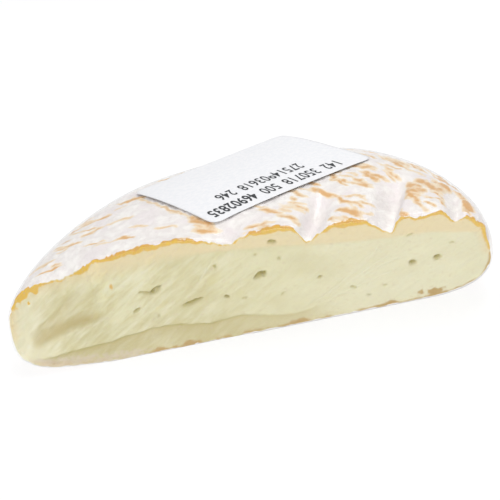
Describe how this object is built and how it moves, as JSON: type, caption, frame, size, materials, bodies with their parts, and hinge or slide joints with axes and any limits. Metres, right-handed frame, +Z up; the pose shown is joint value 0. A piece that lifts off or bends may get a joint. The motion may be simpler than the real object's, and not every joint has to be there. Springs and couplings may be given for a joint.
{
  "type": "half cheese wheel",
  "caption": "Half of a soft washed-rind cheese wheel with a bloomy rind and a flat cut face, wrapped in clear film with a paper price label stuck on the top.",
  "frame": {"origin": "on the surface it rests on, under the middle of the whole object's bounding box", "axes": "+X along the cut, from the sagging, thinner end to the thicker end; +Y from the cut face towards the round rim; +Z up, away from the flat underside"},
  "size_m": [0.1408, 0.075, 0.0326],
  "materials": {
    "cheese": "soft matt paste with a bloomy, downy rind",
    "film": "clear, glossy",
    "label": "smooth thermal paper"
  },
  "bodies": {
    "root": {"cheese_half_wheel": "cheese", "cling_film": "film", "paper_label": "label"}
  },
  "joints": []
}
